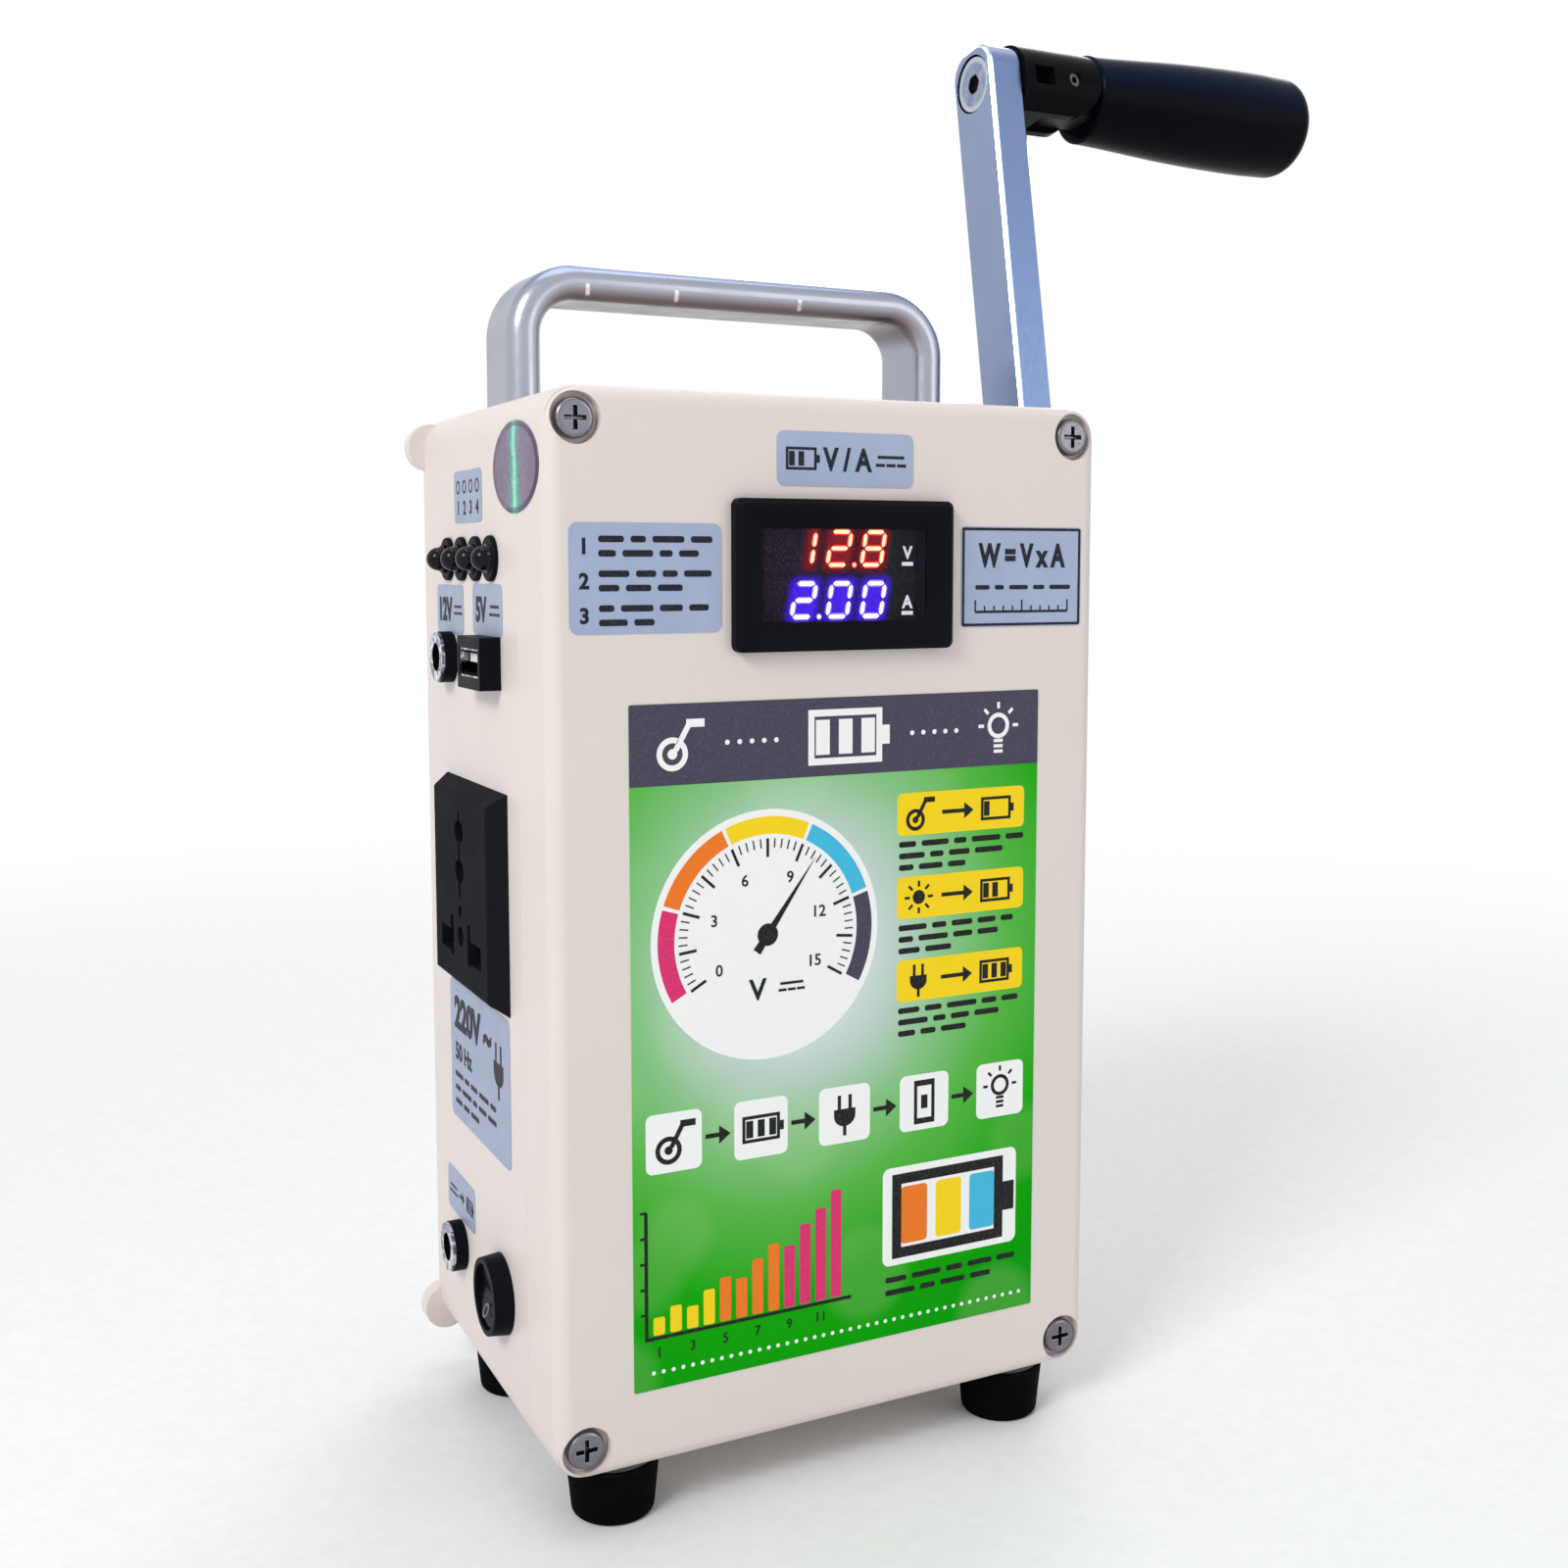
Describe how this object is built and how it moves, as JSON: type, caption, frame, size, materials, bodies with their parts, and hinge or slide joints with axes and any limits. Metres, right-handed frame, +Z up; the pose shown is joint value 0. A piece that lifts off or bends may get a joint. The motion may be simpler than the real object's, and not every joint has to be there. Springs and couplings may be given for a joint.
{
  "type": "hand_crank_generator",
  "caption": "Ivory portable power box with a fold-away hand crank generator, panel meter, carry handle, DC, USB and mains outlets and four charge lamps",
  "frame": {"origin": "the middle of the box's flat underside; the rubber feet stand 12 mm below it", "axes": "+X to the right seen from the front, where the crank is; +Y to the back; +Z up"},
  "size_m": [0.226, 0.09, 0.3094],
  "materials": {
    "enclosure_plastic": "fine satin ABS moulding, warm ivory",
    "seal_rubber": "black soft seal cord",
    "plated_screw": "nickel plated, cross recess",
    "plated_steel": "zinc plated",
    "foot_rubber": "matt black rubber",
    "tape_white": "foam tape",
    "handle_aluminium": "satin drawn bar",
    "black_plastic": "moulded black plastic, low sheen",
    "meter_glass": "dark purple tinted window",
    "display_grey": "potted digit blocks",
    "board_green": "green glass fibre board",
    "lamp_smoke": "dark clear lamp dome",
    "chrome_ring": "bright nickel",
    "brass_contact": "turned brass",
    "tongue_white": "white port tongue",
    "socket_plastic": "black moulding, fine satin",
    "rocker_black": "black rocker",
    "bearing_bronze": "oiled sintered bronze",
    "shaft_steel": "ground steel",
    "arm_aluminium": "satin flat bar with bright chamfers",
    "bolt_steel": "plated countersunk bolt",
    "block_black": "black moulded hinge block",
    "pin_steel": "rolled spring pin",
    "spindle_black": "blackened zinc casting",
    "grip_gloss": "polished black plastic",
    "gear_nylon": "natural nylon",
    "plate_aluminium": "punched sheet",
    "magnet_dark": "dark ferrite",
    "cell_wrap": "blue shrink wrapped cells",
    "coil_tape": "yellow coil tape"
  },
  "bodies": {
    "enclosure": {"base_shell": "enclosure_plastic", "lid": "enclosure_plastic", "lid_gasket": "seal_rubber", "lid_screws": "plated_screw", "rubber_feet": "foot_rubber", "foot_tape_discs": "tape_white", "carry_handle": "handle_aluminium", "handle_washers": "plated_steel", "handle_screws": "plated_steel", "meter_bezel": "black_plastic", "meter_window": "meter_glass", "meter_digit_blocks": "display_grey", "meter_board": "board_green", "lamp_holders": "black_plastic", "lamp_lenses": "lamp_smoke", "lamp_board": "board_green", "jack_bodies": "black_plastic", "jack_rings": "chrome_ring", "jack_pins": "brass_contact", "jack_nuts": "plated_steel", "usb_housing": "black_plastic", "usb_shell": "chrome_ring", "usb_tongue": "tongue_white", "mains_socket": "socket_plastic", "solder_tabs": "brass_contact", "switch_housing": "black_plastic", "shaft_flange": "black_plastic", "flange_screws": "plated_screw", "outer_bearing": "bearing_bronze", "inner_bearing": "bearing_bronze", "idler_axle": "shaft_steel", "gearbox_plates": "plate_aluminium", "plate_spacers": "plate_aluminium", "gearbox_screws": "plated_steel", "generator_can": "plated_steel", "generator_magnets": "magnet_dark", "generator_end_cap": "black_plastic", "battery_cells": "cell_wrap", "battery_frames": "black_plastic", "battery_board": "board_green", "inverter_board": "board_green", "transformer_core": "magnet_dark", "transformer_coil": "coil_tape", "heat_sink": "plate_aluminium"},
    "crank": {"crank_shaft": "shaft_steel", "crank_arm": "arm_aluminium", "hub_screw": "plated_screw", "handle_bolt": "bolt_steel", "fold_block": "block_black", "handle_insert": "brass_contact", "fold_pin": "pin_steel", "drive_gear": "gear_nylon"},
    "idler": {"idler_gear": "gear_nylon"},
    "rotor": {"rotor_pinion": "brass_contact", "generator_rotor": "shaft_steel"},
    "fold": {"grip_spindle": "spindle_black", "grip_screw": "plated_steel"},
    "hand_grip": {"grip": "grip_gloss", "grip_cap": "grip_gloss"},
    "rocker": {"switch_rocker": "rocker_black"}
  },
  "joints": [
    {"name": "crank_turn", "type": "hinge", "parent": "enclosure", "child": "crank", "pos_m": [0.0605, -0.007, 0.1667], "axis": [1, 0, 0], "continuous": true},
    {"name": "idler_turn", "type": "hinge", "parent": "enclosure", "child": "idler", "pos_m": [0.0405, 0.00821, 0.13407], "axis": [1, 0, 0], "continuous": true},
    {"name": "rotor_turn", "type": "hinge", "parent": "enclosure", "child": "rotor", "pos_m": [0, 0.00821, 0.10527], "axis": [1, 0, 0], "continuous": true},
    {"name": "handle_fold", "type": "hinge", "parent": "crank", "child": "fold", "pos_m": [0.0887, 0.01384, 0.28488], "axis": [0, 0.9848, -0.1736], "range_deg": [0, 90]},
    {"name": "grip_spin", "type": "hinge", "parent": "fold", "child": "hand_grip", "pos_m": [0.1287, 0.01384, 0.28488], "axis": [1, 0, 0], "continuous": true},
    {"name": "switch_rock", "type": "hinge", "parent": "enclosure", "child": "rocker", "pos_m": [-0.06071, -0.01049, 0.0256], "axis": [0.0224, 0.9997, 0], "range_deg": [0, 20]}
  ],
  "couplings": [
    {"joint": "idler_turn", "follows": "crank_turn", "ratio": -5},
    {"joint": "rotor_turn", "follows": "crank_turn", "ratio": 25}
  ]
}
